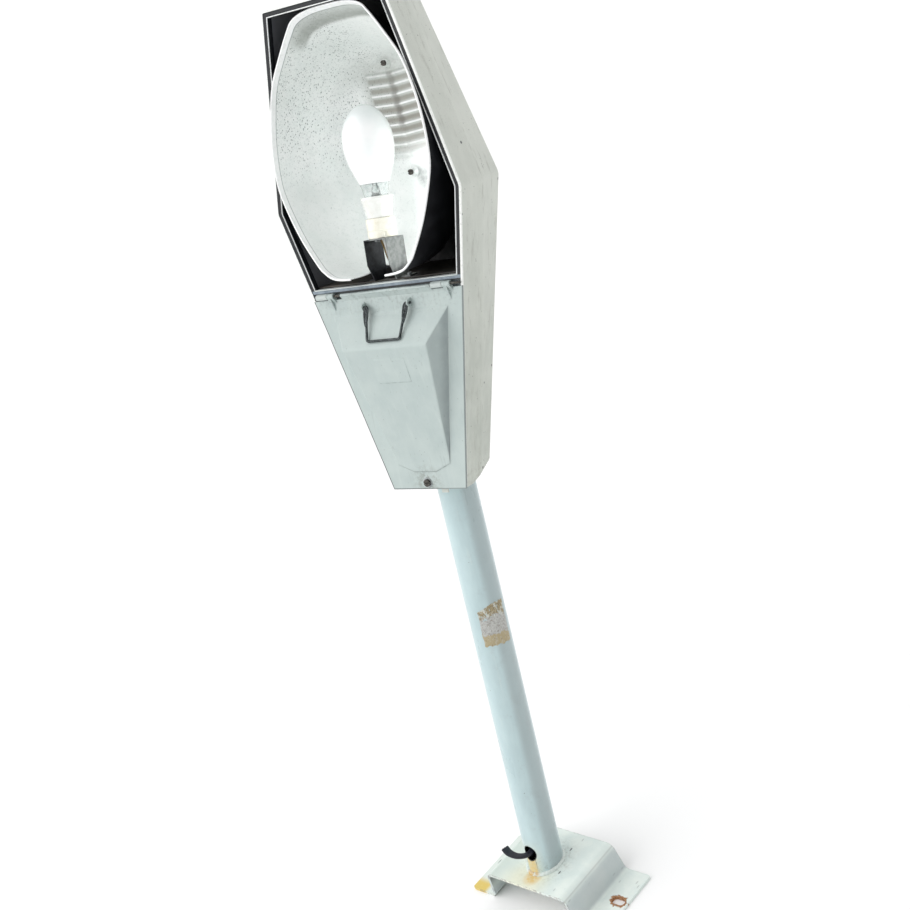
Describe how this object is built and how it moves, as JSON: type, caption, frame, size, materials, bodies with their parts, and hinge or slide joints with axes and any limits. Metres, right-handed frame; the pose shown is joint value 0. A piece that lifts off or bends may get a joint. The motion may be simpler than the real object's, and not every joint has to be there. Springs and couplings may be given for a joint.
{
  "type": "street lamp head on bracket arm",
  "caption": "Tapered street lamp head with deep oval reflector and bulb above a hinged gear cover, on a leaning tube arm welded to a hat-shaped wall bracket.",
  "frame": {"origin": "midway between the two fixing slots, on the plane of the flange undersides", "axes": "+X across the two flanges, -Y the side the lamp faces, +Z out of the mounting surface along the arm"},
  "size_m": [0.3517, 0.474, 1.4275],
  "materials": {
    "painted_sheet": "satin weathered paint",
    "painted_tube": "pale blue-white paint",
    "rubber_black": "matt",
    "steel_dark": "dull",
    "steel_zinc": "dull zinc plated",
    "bar_paint": "grey-blue paint",
    "reflector_metal": "semi-bright, oxidised",
    "lamp_glass": "white coated glass",
    "quartz": "fused quartz",
    "cap_metal": "bright",
    "ceramic_white": "glazed",
    "ceramic_cream": "unglazed",
    "brass": "dull",
    "ballast_iron": "varnished laminations",
    "winding": "varnished",
    "can_grey": "dull can",
    "terminal_plastic": "matt",
    "wire_brown": "matt",
    "wire_white": "matt",
    "wire_blue": "matt",
    "wire_black": "matt",
    "cable_black": "matt",
    "label_paper": "aged paper",
    "weld_paint": "painted weld with rust"
  },
  "bodies": {
    "lamp_body": {"arm_tube": "painted_tube", "ballast_core": "ballast_iron", "ballast_winding_lower": "winding", "ballast_winding_upper": "winding", "bracket_foot_screw_left": "steel_zinc", "bracket_foot_screw_right": "steel_zinc", "capacitor": "can_grey", "capacitor_clip": "steel_zinc", "clamp_bolt_left": "steel_zinc", "clamp_bolt_right": "steel_zinc", "clamp_saddle": "can_grey", "clamp_strap": "steel_zinc", "crossbar": "bar_paint", "gear_tray": "steel_zinc", "hinge_pin_left": "steel_dark", "hinge_pin_right": "steel_dark", "housing_shell": "painted_sheet", "lamp_wire_1": "wire_brown", "lamp_wire_2": "wire_white", "lamp_wire_3": "wire_blue", "lamp_wire_4": "wire_black", "lampholder_base": "ceramic_cream", "lampholder_bracket": "steel_zinc", "lampholder_contact": "brass", "lampholder_screw_left": "steel_zinc", "lampholder_screw_right": "steel_zinc", "lampholder_shell": "brass", "lampholder_skirt": "ceramic_white", "mounting_bracket": "painted_tube", "partition_plate": "painted_sheet", "reflector": "reflector_metal", "reflector_screw_lower": "steel_zinc", "reflector_screw_upper": "steel_zinc", "rim_gasket": "rubber_black", "supply_cable": "cable_black", "terminal_block": "terminal_plastic", "terminal_screw_1": "brass", "terminal_screw_2": "brass", "terminal_screw_3": "brass", "terminal_screw_4": "brass", "tube_label": "label_paper", "weld_bead": "weld_paint"},
    "cover": {"gear_cover": "painted_sheet", "cover_screw_washer": "steel_zinc"},
    "cover_fastener": {"cover_screw": "steel_dark"},
    "bail": {"bail_latch": "steel_zinc"},
    "bulb": {"lamp_envelope": "lamp_glass", "lamp_arc_tube": "quartz", "lamp_cap": "cap_metal"}
  },
  "joints": [
    {"name": "cover_hinge", "type": "hinge", "parent": "lamp_body", "child": "cover", "pos_m": [0.01057, 0.17217, 1.01977], "axis": [-0.984, -0.1731, 0.0427], "range_deg": [0, 90]},
    {"name": "cover_screw_turn", "type": "hinge", "parent": "cover", "child": "cover_fastener", "pos_m": [0.01114, 0.09855, 0.73461], "axis": [0.1782, -0.9501, 0.2562], "continuous": true},
    {"name": "bail_pivot", "type": "hinge", "parent": "cover", "child": "bail", "pos_m": [0.01101, 0.16482, 1], "axis": [-0.984, -0.1731, 0.0427], "range_deg": [0, 40]},
    {"name": "bulb_turn", "type": "hinge", "parent": "lamp_body", "child": "bulb", "pos_m": [0.00285, 0.26298, 1.20968], "axis": [-0.0214, 0.3527, 0.9355], "range_deg": [0, 1080]}
  ]
}
